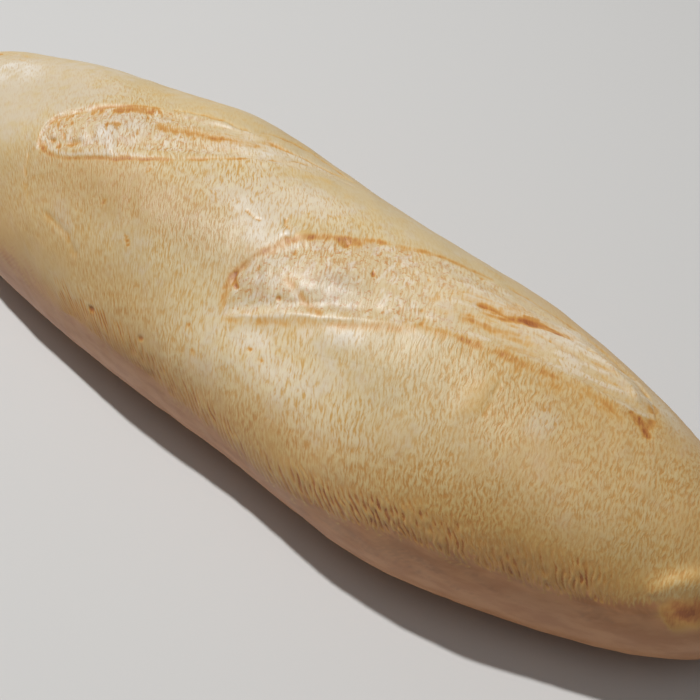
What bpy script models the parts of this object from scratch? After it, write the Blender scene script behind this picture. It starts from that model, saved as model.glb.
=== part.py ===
"""A small slashed white loaf, baked as one piece and resting on its flat underside.

The loaf lies along X with its ridge up. The side called far is +Y and the side called near
is -Y. The origin is on the table, under the middle of the loaf.
"""

import math

import bpy
import numpy as np

# Driving dimensions in metres
LENGTH = 0.250
WIDTH = 0.066
HEIGHT = 0.054

# The plan outline: a higher power makes a blunter end
LEFT_POWER = 2.2
RIGHT_POWER = 2.5
END_ROUNDNESS = 1.9
RIDGE_EXTRA_POWER = 0.4

# The section: its widest level, and how square it is above and below that
WAIST = 0.42 * HEIGHT
UPPER_POWER = 2.1
LOWER_POWER = 2.6

# The underside: how far the tips' middle drops, how long it lies flat, how much is pressed flat
TIP_DROP = 0.009
UNDERSIDE_POWER = 5.0
PRESSED_FLAT = 0.0008

# The slight S of the loaf: its middle line strays by up to 0.38 of this, to each side in turn
BEND = -0.008

# The loaf's shift to the far side, which puts the middle of its width over the origin
SIDE_SHIFT = 0.0007

# Swellings of each side: place along the loaf, amount, reach
NEAR_SWELLINGS = (
    (-0.080, -0.0008, 0.024),
    (0.018, -0.0011, 0.024),
    (0.058, 0.0020, 0.024),
    (0.092, -0.0011, 0.024),
)
FAR_SWELLINGS = (
    (-0.058, -0.0011, 0.024),
    (0.030, -0.0014, 0.024),
    (0.075, 0.0011, 0.024),
)

# Puffs of crust beside the slashes: place along and around, height, reach along and across
PUFFS = (
    (-0.090, 0.014, 0.0012, 0.014, 0.009),
    (-0.014, 0.027, 0.0024, 0.018, 0.012),
)
PUFF_TURN = math.radians(30)

# Soft waves of the whole crust: height, length along the loaf, length around it
WAVE_HEIGHT = 0.0003
WAVE_ALONG = 0.047
WAVE_AROUND = 0.031

# The three slashes. Places are (along the loaf, around it from the ridge, far side positive).
# A slash opens widest near its head; head_power and tail_power say how quickly it closes.
SLASHES = (
    dict(head=(-0.112, -0.0090), tail=(-0.073, 0.0085), width=0.0095, bow=-0.0015,
         head_power=0.30, tail_power=0.70),
    dict(head=(-0.0455, -0.0160), tail=(0.0180, 0.0220), width=0.0146, bow=-0.0026,
         head_power=0.28, tail_power=0.80),
    dict(head=(0.0165, -0.0248), tail=(0.0915, 0.0070), width=0.0185, bow=0.0050,
         head_power=0.22, tail_power=0.24),
)
SLASH_DEPTH = 0.0017
SLASH_WALL = 0.0028
SLASH_CROWN = 0.0011
LIP_HEIGHT = 0.0009
LIP_WIDTH = 0.0016

# The folded skin at the right end: its two ends around the crust, and its size
FOLD_START = (0.1035, -0.0170)
FOLD_END = (0.1150, -0.0040)
FOLD_HEIGHT = 0.0010
FOLD_WIDTH = 0.0020

# The crust's mesh: stations along, points around, and the triangles left after thinning
STATIONS = 260
POINTS_AROUND = 140
TRIANGLES = 11200
FLAT_SNAP = 0.00008

CRUST_COLOUR = (0.60, 0.42, 0.20, 1.0)
CRUST_ROUGHNESS = 0.5


def swelling(x, rows):
    """Adds up bell-shaped swellings along the loaf."""
    total = np.zeros_like(x)
    for place, amount, reach in rows:
        total += amount * np.exp(-(((x - place) / reach) ** 2))
    return total


def half_sizes(s):
    """Half width, waist height, rise above the waist and drop below it, for s from -1 to 1."""
    reach = np.abs(s)
    power = np.where(s < 0.0, LEFT_POWER, RIGHT_POWER)
    plan = np.clip(1.0 - reach**power, 0.0, 1.0) ** (1.0 / END_ROUNDNESS)
    ridge = np.clip(1.0 - reach ** (power + RIDGE_EXTRA_POWER), 0.0, 1.0) ** (1.0 / END_ROUNDNESS)
    belly = np.sqrt(np.clip(1.0 - reach**UNDERSIDE_POWER, 0.0, 1.0))
    waist = WAIST - TIP_DROP * reach**3
    return WIDTH / 2 * plan, waist, (HEIGHT - WAIST) * ridge, (waist + PRESSED_FLAT) * belly


def smooth_step(value):
    """A soft ramp from 0 to 1 while the value goes from 0 to 1."""
    value = np.clip(value, 0.0, 1.0)
    return value * value * (3.0 - 2.0 * value)


def slash_relief(x, around, slash):
    """Height that one slash adds to the crust.

    The near edge is a bowed line from head to tail, and the far edge stands off it by the
    opening. Between them the crumb is sunk, with a crown along its middle, and the near edge
    carries a thin raised lip.
    """
    head = np.array(slash["head"])
    chord = np.array(slash["tail"]) - head
    span = np.hypot(*chord)
    direction = chord / span
    t = ((x - head[0]) * direction[0] + (around - head[1]) * direction[1]) / span
    q = (around - head[1]) * direction[0] - (x - head[0]) * direction[1]
    inside = np.clip(t, 0.0, 1.0)
    rise, fall = slash["head_power"], slash["tail_power"]
    peak = rise / (rise + fall)
    most = peak**rise * (1.0 - peak) ** fall
    opening = slash["width"] * inside**rise * (1.0 - inside) ** fall / most
    near_edge = slash["bow"] * 4.0 * inside * (1.0 - inside)
    from_near = q - near_edge
    from_far = opening - from_near
    past_end = np.maximum(np.maximum(-t, t - 1.0), 0.0) * span
    depth_in = np.minimum(from_near, from_far)
    sunk = smooth_step(depth_in / SLASH_WALL)
    middle = np.clip(from_near / np.maximum(opening, SLASH_WALL), 0.0, 1.0)
    crown = SLASH_CROWN * 4.0 * middle * (1.0 - middle) * sunk
    lip_fade = smooth_step(inside * 8.0) * smooth_step((1.0 - inside) * 8.0)
    lip = LIP_HEIGHT * np.exp(-((from_near / LIP_WIDTH) ** 2)) * lip_fade
    return np.where(past_end > 0.0, 0.0, crown - SLASH_DEPTH * sunk + lip)


def fold_relief(x, around):
    """Height of the folded skin at the right end: a short rounded ridge between two points."""
    start = np.array(FOLD_START)
    chord = np.array(FOLD_END) - start
    span = np.hypot(*chord)
    t = ((x - start[0]) * chord[0] + (around - start[1]) * chord[1]) / span**2
    q = ((around - start[1]) * chord[0] - (x - start[0]) * chord[1]) / span
    return FOLD_HEIGHT * np.exp(-((q / FOLD_WIDTH) ** 2)) * np.exp(-((2.0 * t - 1.0) ** 4))


def puff_relief(x, around):
    """Height of the crust that puffed up beside the slashes, as long bells along their line."""
    total = np.zeros_like(x)
    for place, place_around, height, along, across in PUFFS:
        step, step_around = x - place, around - place_around
        t = (step * math.cos(PUFF_TURN) + step_around * math.sin(PUFF_TURN)) / along
        q = (step_around * math.cos(PUFF_TURN) - step * math.sin(PUFF_TURN)) / across
        total += height * np.exp(-(t**2) - q**2)
    return total


def crust_points(s, turn):
    """Points of the crust, for s from -1 to 1 and turn from the ridge, far side positive."""
    half_width, waist, rise, drop = half_sizes(s)
    x = s * LENGTH / 2
    side, up = np.sin(turn), np.cos(turn)
    swell = np.where(side < 0.0, swelling(x, NEAR_SWELLINGS), swelling(x, FAR_SWELLINGS))
    half = half_width + swell * np.abs(side) * half_width / (WIDTH / 2)
    power = np.where(up > 0.0, UPPER_POWER, LOWER_POWER)
    height = np.where(up > 0.0, rise, drop)
    y = half * np.sign(side) * np.abs(side) ** (2.0 / power)
    z = waist + height * np.sign(up) * np.abs(up) ** (2.0 / power)

    around = half_width * turn
    relief = WAVE_HEIGHT * np.sin(2 * np.pi * x / WAVE_ALONG) * np.cos(2 * np.pi * around / WAVE_AROUND)
    for slash in SLASHES:
        relief = relief + slash_relief(x, around, slash)
    relief = relief + puff_relief(x, around) + fold_relief(x, around)
    relief = relief * smooth_step(up + 0.6) * smooth_step(half_width / (0.25 * WIDTH))
    y = y + relief * side
    z = z + relief * up

    middle = SIDE_SHIFT + BEND * s * (1.0 - s * s)
    return x, y + middle, np.maximum(z, 0.0)


def crust_mesh():
    """The closed crust: rings of points along the loaf, with one point at each tip."""
    s = -np.cos(np.pi * (np.arange(STATIONS) + 0.5) / STATIONS)
    turn = 2 * np.pi * np.arange(POINTS_AROUND) / POINTS_AROUND - np.pi
    x, y, z = crust_points(*np.meshgrid(s, turn, indexing="ij"))
    tip_height = WAIST - TIP_DROP
    points = np.column_stack([x.ravel(), y.ravel(), z.ravel()]).tolist()
    points.append((-LENGTH / 2, SIDE_SHIFT, tip_height))
    points.append((LENGTH / 2, SIDE_SHIFT, tip_height))
    left_tip, right_tip = len(points) - 2, len(points) - 1

    faces = []
    for ring in range(STATIONS - 1):
        for step in range(POINTS_AROUND):
            following = (step + 1) % POINTS_AROUND
            a = ring * POINTS_AROUND + step
            b = ring * POINTS_AROUND + following
            faces.append((a, a + POINTS_AROUND, b + POINTS_AROUND, b))
    last = (STATIONS - 1) * POINTS_AROUND
    for step in range(POINTS_AROUND):
        following = (step + 1) % POINTS_AROUND
        faces.append((left_tip, step, following))
        faces.append((right_tip, last + following, last + step))

    mesh = bpy.data.meshes.new("loaf_full")
    mesh.from_pydata(points, [], faces)
    return mesh


def thinned(mesh):
    """The same crust with fewer triangles, kept where it curves, and its base exactly flat."""
    full = bpy.data.objects.new("loaf_full", mesh)
    bpy.context.scene.collection.objects.link(full)
    triangles = sum(len(face.vertices) - 2 for face in mesh.polygons)
    thin = full.modifiers.new("thin", "DECIMATE")
    thin.ratio = TRIANGLES / triangles
    thin.use_collapse_triangulate = True
    evaluated = full.evaluated_get(bpy.context.evaluated_depsgraph_get())
    result = bpy.data.meshes.new_from_object(evaluated)
    bpy.data.objects.remove(full, do_unlink=True)
    for vertex in result.vertices:
        if vertex.co.z < FLAT_SNAP:
            vertex.co.z = 0.0
    result.name = "loaf"
    return result


def crust_material():
    """Pale baked crust: warm tan, neither matt nor glossy."""
    material = bpy.data.materials.new("baked_crust")
    material.use_nodes = True
    shader = material.node_tree.nodes["Principled BSDF"]
    shader.inputs["Base Color"].default_value = CRUST_COLOUR
    shader.inputs["Roughness"].default_value = CRUST_ROUGHNESS
    shader.inputs["Metallic"].default_value = 0.0
    return material


def build():
    for thing in list(bpy.data.objects):
        bpy.data.objects.remove(thing, do_unlink=True)
    mesh = thinned(crust_mesh())
    mesh.materials.clear()
    mesh.materials.append(crust_material())
    mesh.shade_smooth()
    loaf = bpy.data.objects.new("loaf", mesh)
    bpy.context.scene.collection.objects.link(loaf)


build()
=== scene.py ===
"""The looks of a short slashed white loaf: its baked crust and the crumb that opened in its slashes.

The loaf lies along X with its ridge up. The side called far is +Y and the side called near is -Y.
A place on the crust is given by x, along the loaf, and by around, the way round the crust from the
ridge, positive to the far side, both in metres.
"""

from __future__ import annotations

import logging
import math
from collections.abc import Callable
from dataclasses import dataclass, field
from enum import Enum
from functools import partial
from typing import Any

import bpy
import numpy as np
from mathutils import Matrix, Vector


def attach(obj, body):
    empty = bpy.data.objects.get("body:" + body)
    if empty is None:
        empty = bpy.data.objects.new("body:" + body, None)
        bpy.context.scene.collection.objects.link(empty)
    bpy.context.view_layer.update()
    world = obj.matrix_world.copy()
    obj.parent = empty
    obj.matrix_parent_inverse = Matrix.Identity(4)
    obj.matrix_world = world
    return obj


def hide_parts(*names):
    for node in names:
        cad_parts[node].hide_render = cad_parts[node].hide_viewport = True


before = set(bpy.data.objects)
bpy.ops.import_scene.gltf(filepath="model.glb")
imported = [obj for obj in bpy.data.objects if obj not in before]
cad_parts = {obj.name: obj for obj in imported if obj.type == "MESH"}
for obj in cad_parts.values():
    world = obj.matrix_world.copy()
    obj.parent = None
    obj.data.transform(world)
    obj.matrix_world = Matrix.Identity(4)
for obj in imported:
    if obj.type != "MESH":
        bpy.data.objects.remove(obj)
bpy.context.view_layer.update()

LOG = logging.getLogger("loaf")

MM = 0.001
TAU = 2.0 * math.pi


class Side(Enum):
    """The two flanks of the loaf, by the sign of Y."""

    NEAR = -1
    FAR = 1


def linear_colour(code: str) -> tuple[float, float, float, float]:
    """Turns an sRGB hex colour into the linear values that a shader takes.

    Args:
        code: Six hex digits, such as "D9C39A".

    Returns:
        Linear red, green and blue, and an alpha of 1.
    """
    parts = [int(code[i:i + 2], 16) / 255 for i in (0, 2, 4)]
    linear = [p / 12.92 if p <= 0.04045 else ((p + 0.055) / 1.055) ** 2.4 for p in parts]
    return (*linear, 1.0)


def smooth_step(value: np.ndarray) -> np.ndarray:
    """A soft ramp, 3v^2 - 2v^3, from 0 to 1 while the value goes from 0 to 1."""
    value = np.clip(value, 0.0, 1.0)
    return value * value * (3.0 - 2.0 * value)


def ramp_up(value: np.ndarray, start: float, reach: float) -> np.ndarray:
    """A soft ramp from 0 at a start to 1 a reach past it, both in millimetres."""
    return smooth_step((value - start * MM) / (reach * MM))


def ramp_down(value: np.ndarray, start: float, reach: float) -> np.ndarray:
    """A soft ramp from 0 at a start to 1 a reach before it, both in millimetres."""
    return smooth_step((start * MM - value) / (reach * MM))


def bell(value: np.ndarray) -> np.ndarray:
    """A bell curve, e to the minus value squared."""
    return np.exp(-(value**2))


def lattice_noise(u: np.ndarray, v: np.ndarray, seed: int) -> np.ndarray:
    """Smooth noise: a fixed random height at each whole-number crossing, eased in between.

    Args:
        u: First coordinate, one unit to a cell.
        v: Second coordinate, one unit to a cell.
        seed: Which of the fixed random patterns to use.

    Returns:
        Heights from -1 to 1, in the shape of u.
    """
    cell_u, cell_v = np.floor(u).astype(np.int64), np.floor(v).astype(np.int64)
    ease_u, ease_v = smooth_step(u - cell_u), smooth_step(v - cell_v)

    def corner(step_u: int, step_v: int) -> np.ndarray:
        """The height at one corner of each cell, from a scramble of its whole numbers.

        Args:
            step_u: 1 for the corners one further on in u, or 0.
            step_v: The same in v.

        Returns:
            Heights from -1 to 1.
        """
        mix = (cell_u + step_u) * 374761393 + (cell_v + step_v) * 668265263 + seed * 974634777
        mix = (mix ^ (mix >> 13)) & 0x7FFFFFFF
        mix = (mix * 1274126177) & 0x7FFFFFFF
        mix = (mix ^ (mix >> 15)) & 0xFFFF
        return mix / 32767.5 - 1.0

    low = corner(0, 0) * (1 - ease_u) + corner(1, 0) * ease_u
    high = corner(0, 1) * (1 - ease_u) + corner(1, 1) * ease_u
    return low * (1 - ease_v) + high * ease_v


def layered_noise(u: np.ndarray, v: np.ndarray, seed: int, layers: int = 3) -> np.ndarray:
    """Noise in layers, each half the size and half the height of the one before.

    Args:
        u: First coordinate, one unit to a cell of the coarsest layer.
        v: Second coordinate, in the same units.
        seed: Which of the fixed random patterns to use.
        layers: How many layers to add.

    Returns:
        Heights from about -1 to 1, in the shape of u.
    """
    total = np.zeros_like(u)
    reach = 0.0
    for layer in range(layers):
        size = 2.0**layer
        total = total + lattice_noise(u * size + 17.3 * layer, v * size - 9.1 * layer, seed + layer) / size
        reach += 1.0 / size
    return total / reach


@dataclass(frozen=True)
class Pattern:
    """A fixed random pattern: the size of its coarsest cells along two coordinates, and its layers."""

    wide: float
    long: float
    seed: int
    layers: int = 1

    def at(self, u: np.ndarray, v: np.ndarray) -> np.ndarray:
        """The pattern's heights, from about -1 to 1, at two coordinates in metres."""
        return layered_noise(u / self.wide, v / self.long, self.seed, self.layers)


@dataclass(frozen=True)
class Swelling:
    """A bell-shaped swelling of one flank: place along the loaf, amount and reach."""

    side: Side
    place: float
    amount: float
    reach: float = 24 * MM

    def amount_at(self, x: np.ndarray) -> np.ndarray:
        """How far the flank stands out: the amount times a bell curve of the distance."""
        return self.amount * bell((x - self.place) / self.reach)


@dataclass(frozen=True)
class Puff:
    """Crust that puffed up beside a slash: a long bell laid along the slashes' slant."""

    x: float
    around: float
    height: float
    along: float
    across: float
    slant: float = math.radians(30)

    def relief(self, x: np.ndarray, around: np.ndarray) -> np.ndarray:
        """Height of the puff: a bell of the distances along and across its slant.

        Args:
            x: Places along the loaf.
            around: Places around the crust.

        Returns:
            Heights above the plain crust.
        """
        step, step_around = x - self.x, around - self.around
        t = (step * math.cos(self.slant) + step_around * math.sin(self.slant)) / self.along
        q = (step_around * math.cos(self.slant) - step * math.sin(self.slant)) / self.across
        return self.height * np.exp(-(t**2) - q**2)


@dataclass(frozen=True)
class Line:
    """A soft line on the skin through a few places: a crease, a tear, a lip or a scar.

    The places are (x, around) in millimetres. A negative depth is a ridge, and pale whitens the line, a
    painted highlight along a ridge's crest. Ticks is the share of the line that breaks up into short strokes
    across it.
    """

    places: tuple[tuple[float, float], ...]
    width: float
    depth: float = 0.0
    toast: float = 0.0
    pale: float = 0.0
    ticks: float = 0.0

    def closeness(self, x: np.ndarray, around: np.ndarray) -> np.ndarray:
        """How close each place is to the line: a bell of the distance to its nearest stretch.

        Args:
            x: Places along the loaf.
            around: Places around the crust.

        Returns:
            1 on the line, falling to 0 beside it and thinning out towards its two ends.
        """
        route = np.array(self.places) * MM
        steps = np.diff(route, axis=0)
        lengths = np.hypot(steps[:, 0], steps[:, 1])
        before = np.concatenate([[0.0], np.cumsum(lengths)])
        nearest = np.full_like(x, np.inf)
        passed = np.zeros_like(x)
        for start, step, length, run in zip(route, steps, lengths, before):
            share = ((x - start[0]) * step[0] + (around - start[1]) * step[1]) / length**2
            share = np.clip(share, 0.0, 1.0)
            away = np.hypot(x - start[0] - share * step[0], around - start[1] - share * step[1])
            passed = np.where(away < nearest, (run + share * length) / before[-1], passed)
            nearest = np.minimum(away, nearest)
        ends = smooth_step(np.minimum(passed, 1.0 - passed) * 7.0 + 0.25)
        return bell(nearest / (self.width * MM * (0.5 + 0.5 * ends))) * ends


@dataclass(frozen=True)
class Spot:
    """A round or long place on the skin that stands out in height or colour.

    The place and the reach along and across its slant are in millimetres, and so is the height. Its light
    is painted light, or painted shade where negative; its pale is whiteness, or a painted highlight or sheen.
    """

    x: float
    around: float
    along: float
    across: float
    slant: float = 30.0
    height: float = 0.0
    tone: float = 0.0
    pale: float = 0.0
    toast: float = 0.0
    smooth: float = 0.0
    light: float = 0.0
    bake: float = 0.0

    def closeness(self, x: np.ndarray, around: np.ndarray) -> np.ndarray:
        """A bell of the distances along and across the spot's slant, flattened on top.

        Args:
            x: Places along the loaf.
            around: Places around the crust.

        Returns:
            1 in the middle of the spot, falling to 0 beside it.
        """
        step, step_around = x / MM - self.x, around / MM - self.around
        turn = math.radians(self.slant)
        t = (step * math.cos(turn) + step_around * math.sin(turn)) / self.along
        q = (step_around * math.cos(turn) - step * math.sin(turn)) / self.across
        return np.exp(-((t**2 + q**2) ** 1.4))


@dataclass(frozen=True)
class Slash:
    """One slash in the crust, opened by the rising crumb, widest near its head.

    head and tail are (x, around). Places in the slash's own frame are t, from 0 at the head to 1 at
    the tail, and q, in metres to the far side of the straight line between them.
    """

    name: str
    head: tuple[float, float]
    tail: tuple[float, float]
    width: float
    bow: float
    head_power: float
    tail_power: float
    seed: int
    stretch_from: float = 0.40
    depth: float = 1.0 * MM
    wall: float = 3.0 * MM
    crown: float = 0.9 * MM
    lip_height: float = 0.2 * MM
    lip_width: float = 1.6 * MM

    def span(self) -> float:
        """The straight distance from head to tail."""
        return math.hypot(self.tail[0] - self.head[0], self.tail[1] - self.head[1])

    def direction(self) -> tuple[float, float]:
        """The unit step in (x, around) from head to tail."""
        return ((self.tail[0] - self.head[0]) / self.span(), (self.tail[1] - self.head[1]) / self.span())

    def own_frame(self, x: np.ndarray, around: np.ndarray) -> tuple[np.ndarray, np.ndarray]:
        """Turns places on the crust into the slash's t and q.

        Args:
            x: Places along the loaf.
            around: Places around the crust.

        Returns:
            t and q of each place.
        """
        run, rise = self.direction()
        step, step_around = x - self.head[0], around - self.head[1]
        return (step * run + step_around * rise) / self.span(), step_around * run - step * rise

    def crust_frame(self, t: np.ndarray, q: np.ndarray) -> tuple[np.ndarray, np.ndarray]:
        """Turns the slash's t and q back into x and around, the other way from own_frame.

        Args:
            t: Places along the slash, from 0 at its head to 1 at its tail.
            q: Metres to its far side.

        Returns:
            x and around of each place.
        """
        run, rise = self.direction()
        along = t * self.span()
        return self.head[0] + along * run - q * rise, self.head[1] + along * rise + q * run

    def near_edge(self, t: np.ndarray) -> np.ndarray:
        """The q of the near edge: a shallow bow, 4t(1-t) times its height."""
        inside = np.clip(t, 0.0, 1.0)
        return self.bow * 4.0 * inside * (1.0 - inside)

    def opening(self, t: np.ndarray) -> np.ndarray:
        """The gap between the edges: t^a (1-t)^b, scaled so that its peak is the slash's width.

        Args:
            t: Places along the slash.

        Returns:
            Gaps in metres.
        """
        inside = np.clip(t, 0.0, 1.0)
        peak = self.head_power / (self.head_power + self.tail_power)
        most = peak**self.head_power * (1.0 - peak) ** self.tail_power
        return self.width * inside**self.head_power * (1.0 - inside) ** self.tail_power / most

    def edges(self, x: np.ndarray, around: np.ndarray) -> tuple[np.ndarray, np.ndarray, np.ndarray]:
        """How far inside each edge a place is.

        Args:
            x: Places along the loaf.
            around: Places around the crust.

        Returns:
            t, the distance in from the near edge, and the distance in from the far edge.
        """
        t, q = self.own_frame(x, around)
        from_near = q - self.near_edge(t)
        return t, from_near, self.opening(t) - from_near

    def relief(self, x: np.ndarray, around: np.ndarray) -> np.ndarray:
        """Height that the slash adds: a sunk floor with a crown along its middle, and a near lip.

        Args:
            x: Places along the loaf.
            around: Places around the crust.

        Returns:
            Heights above the plain crust, negative where it is sunk.
        """
        t, from_near, from_far = self.edges(x, around)
        inside = np.clip(t, 0.0, 1.0)
        sunk = smooth_step(np.minimum(from_near, from_far) / self.wall)
        middle = np.clip(from_near / np.maximum(self.opening(t), self.wall), 0.0, 1.0)
        crown = self.crown * 4.0 * middle * (1.0 - middle) * sunk
        lip_fade = smooth_step(inside * 8.0) * smooth_step((1.0 - inside) * 8.0)
        lip = self.lip_height * bell(from_near / self.lip_width) * lip_fade
        return np.where((t < 0.0) | (t > 1.0), 0.0, crown - self.depth * sunk + lip)

    def inside(self, x: np.ndarray, around: np.ndarray) -> np.ndarray:
        """Metres inside the slash's nearer edge, negative outside.

        Args:
            x: Places along the loaf.
            around: Places around the crust.

        Returns:
            Distances, capped by the distance past either end.
        """
        t, from_near, from_far = self.edges(x, around)
        ends = np.minimum(t, 1.0 - t) * self.span()
        return np.minimum(np.minimum(from_near, from_far), np.where(ends < 0.0, ends, 1.0))


@dataclass
class LoafForm:
    """The loaf's form: the solid's outline, section, swellings and puffs, with softer slashes.

    The slashes lie where the solid's do. They are shallower, with softer walls and a lower lip, which
    gives them the shading of the real ones.
    """

    length: float = 250 * MM
    width: float = 66 * MM
    height: float = 54 * MM
    left_power: float = 2.2
    right_power: float = 2.5
    end_roundness: float = 1.9
    ridge_extra_power: float = 0.4
    waist_share: float = 0.42
    upper_power: float = 2.1
    lower_power: float = 2.6
    tip_drop: float = 9 * MM
    underside_power: float = 5.0
    pressed_flat: float = 0.8 * MM
    bend: float = -8 * MM
    side_shift: float = 0.7 * MM
    wave_height: float = 0.3 * MM
    wave_along: float = 47 * MM
    wave_around: float = 31 * MM
    swellings: tuple[Swelling, ...] = (
        Swelling(Side.NEAR, -80 * MM, -0.8 * MM),
        Swelling(Side.NEAR, 18 * MM, -1.1 * MM),
        Swelling(Side.NEAR, 58 * MM, 2.0 * MM),
        Swelling(Side.NEAR, 92 * MM, -1.1 * MM),
        Swelling(Side.FAR, -58 * MM, -1.1 * MM),
        Swelling(Side.FAR, 30 * MM, -1.4 * MM),
        Swelling(Side.FAR, 75 * MM, 1.1 * MM),
    )
    puffs: tuple[Puff, ...] = (
        Puff(-90 * MM, 14 * MM, 1.2 * MM, 14 * MM, 9 * MM),
        Puff(-14 * MM, 27 * MM, 2.4 * MM, 18 * MM, 12 * MM),
    )
    slashes: tuple[Slash, ...] = (
        Slash("left", (-112 * MM, -9 * MM), (-73 * MM, 8.5 * MM), 9.5 * MM, -1.5 * MM, 0.30, 0.70, 11),
        Slash("middle", (-45.5 * MM, -16 * MM), (18 * MM, 22 * MM), 14.6 * MM, -2.6 * MM, 0.28, 0.80, 23),
        Slash("right", (16.5 * MM, -24.8 * MM), (91.5 * MM, 7 * MM), 18.5 * MM, 5 * MM, 0.22, 0.24, 37,
              depth=0.75 * MM),
    )
    fold_start: tuple[float, float] = (103.5 * MM, -17 * MM)
    fold_end: tuple[float, float] = (115 * MM, -4 * MM)
    fold_height: float = 1.0 * MM
    fold_width: float = 2.0 * MM

    def half_sizes(self, s: np.ndarray) -> tuple[np.ndarray, np.ndarray, np.ndarray, np.ndarray]:
        """Sizes of the section at s, from -1 at the left tip to 1 at the right tip.

        Args:
            s: Places along the loaf.

        Returns:
            Half width, height of the waist, rise above the waist and drop below it.
        """
        reach = np.abs(s)
        power = np.where(s < 0.0, self.left_power, self.right_power)
        plan = np.clip(1.0 - reach**power, 0.0, 1.0) ** (1.0 / self.end_roundness)
        ridge_power = power + self.ridge_extra_power
        ridge = np.clip(1.0 - reach**ridge_power, 0.0, 1.0) ** (1.0 / self.end_roundness)
        belly = np.sqrt(np.clip(1.0 - reach**self.underside_power, 0.0, 1.0))
        middle_waist = self.waist_share * self.height
        waist = middle_waist - self.tip_drop * reach**3
        rise = (self.height - middle_waist) * ridge
        return self.width / 2 * plan, waist, rise, (waist + self.pressed_flat) * belly

    def half_width(self, x: np.ndarray) -> np.ndarray:
        """Half the loaf's width at x, before its swellings."""
        return self.half_sizes(x / (self.length / 2))[0]

    def fold_relief(self, x: np.ndarray, around: np.ndarray) -> np.ndarray:
        """Height of the folded skin at the right end: a short rounded ridge between two points.

        Args:
            x: Places along the loaf.
            around: Places around the crust.

        Returns:
            Heights above the plain crust.
        """
        run, rise = self.fold_end[0] - self.fold_start[0], self.fold_end[1] - self.fold_start[1]
        span = math.hypot(run, rise)
        step, step_around = x - self.fold_start[0], around - self.fold_start[1]
        t = (step * run + step_around * rise) / span**2
        q = (step_around * run - step * rise) / span
        return self.fold_height * bell(q / self.fold_width) * np.exp(-((2.0 * t - 1.0) ** 4))

    def relief(self, x: np.ndarray, around: np.ndarray) -> np.ndarray:
        """Height of the solid's own relief: soft waves, slashes, puffs and the fold.

        Args:
            x: Places along the loaf.
            around: Places around the crust.

        Returns:
            Heights above the plain form.
        """
        waves = np.sin(TAU * x / self.wave_along) * np.cos(TAU * around / self.wave_around)
        total = self.wave_height * waves + self.fold_relief(x, around)
        for part in (*self.slashes, *self.puffs):
            total = total + part.relief(x, around)
        return total

    def place(self, s: np.ndarray, turn: np.ndarray, extra: np.ndarray) -> np.ndarray:
        """Points of the crust: a rounded section swept along a slightly bent middle line.

        Above and below the waist the section is y = w |sin|^(2/p), z = h |cos|^(2/p), and the relief
        moves a point outwards. Whatever would be under the table is pressed flat.

        Args:
            s: Places along the loaf, from -1 to 1.
            turn: Angles round the section from the ridge, far side positive.
            extra: Fine relief to add to the solid's own, in metres.

        Returns:
            An array of points with x, y and z last.
        """
        half_width, waist, rise, drop = self.half_sizes(s)
        x = s * self.length / 2
        side, up = np.sin(turn), np.cos(turn)
        swell = np.zeros_like(x)
        for row in self.swellings:
            swell = swell + np.where(side * row.side.value > 0.0, row.amount_at(x), 0.0)
        half = half_width + swell * np.abs(side) * half_width / (self.width / 2)
        power = np.where(up > 0.0, self.upper_power, self.lower_power)
        height = np.where(up > 0.0, rise, drop)
        y = half * np.sign(side) * np.abs(side) ** (2.0 / power)
        z = waist + height * np.sign(up) * np.abs(up) ** (2.0 / power)
        fade = smooth_step(up + 0.6) * smooth_step(half_width / (0.25 * self.width))
        relief = self.relief(x, half_width * turn) * fade
        relief = relief + extra * smooth_step(half_width / (0.10 * self.width))
        middle = self.side_shift + self.bend * s * (1.0 - s * s)
        return np.stack([x, y + relief * side + middle, np.maximum(z + relief * up, 0.0)], axis=-1)

    def tips(self) -> tuple[tuple[float, float, float], tuple[float, float, float]]:
        """The left and the right tip, where the section closes to a point."""
        height = self.waist_share * self.height - self.tip_drop
        return (-self.length / 2, self.side_shift, height), (self.length / 2, self.side_shift, height)


def even_steps(count: int, low: float, high: float,
               density: Callable[[np.ndarray], np.ndarray]) -> np.ndarray:
    """Values from low to high that lie closer together where the density is higher.

    Args:
        count: How many values.
        low: The first value.
        high: The last value.
        density: A function of an array that says how many values a stretch deserves.

    Returns:
        The values, at equal steps of the density's running total.
    """
    fine = np.linspace(low, high, 20001)
    total = np.cumsum(density(fine))
    total = (total - total[0]) / (total[-1] - total[0])
    return np.interp(np.linspace(0.0, 1.0, count), total, fine)


def mesh_piece(name: str, points: np.ndarray, faces: list, attributes: dict[str, np.ndarray],
               uv: np.ndarray | None, material: bpy.types.Material) -> bpy.types.Object:
    """Makes a smooth-shaded mesh object from arrays, with its place in its mesh.

    Args:
        name: The piece's name.
        points: Points, one a row.
        faces: Corner numbers of each face.
        attributes: Named values, one number a point.
        uv: The pattern's coordinates at each face corner, or None.
        material: The piece's finish.

    Returns:
        The object, linked into the scene.
    """
    mesh = bpy.data.meshes.new(name)
    mesh.from_pydata(points.tolist(), [], faces)
    for key, values in attributes.items():
        layer = mesh.attributes.new(key, "FLOAT", "POINT")
        layer.data.foreach_set("value", values.astype(np.float32).ravel())
    if uv is not None:
        layer = mesh.uv_layers.new(name="grain")
        layer.data.foreach_set("uv", uv.astype(np.float32).ravel())
    mesh.shade_smooth()
    mesh.materials.append(material)
    piece = bpy.data.objects.new(name, mesh)
    bpy.context.scene.collection.objects.link(piece)
    return piece


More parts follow.
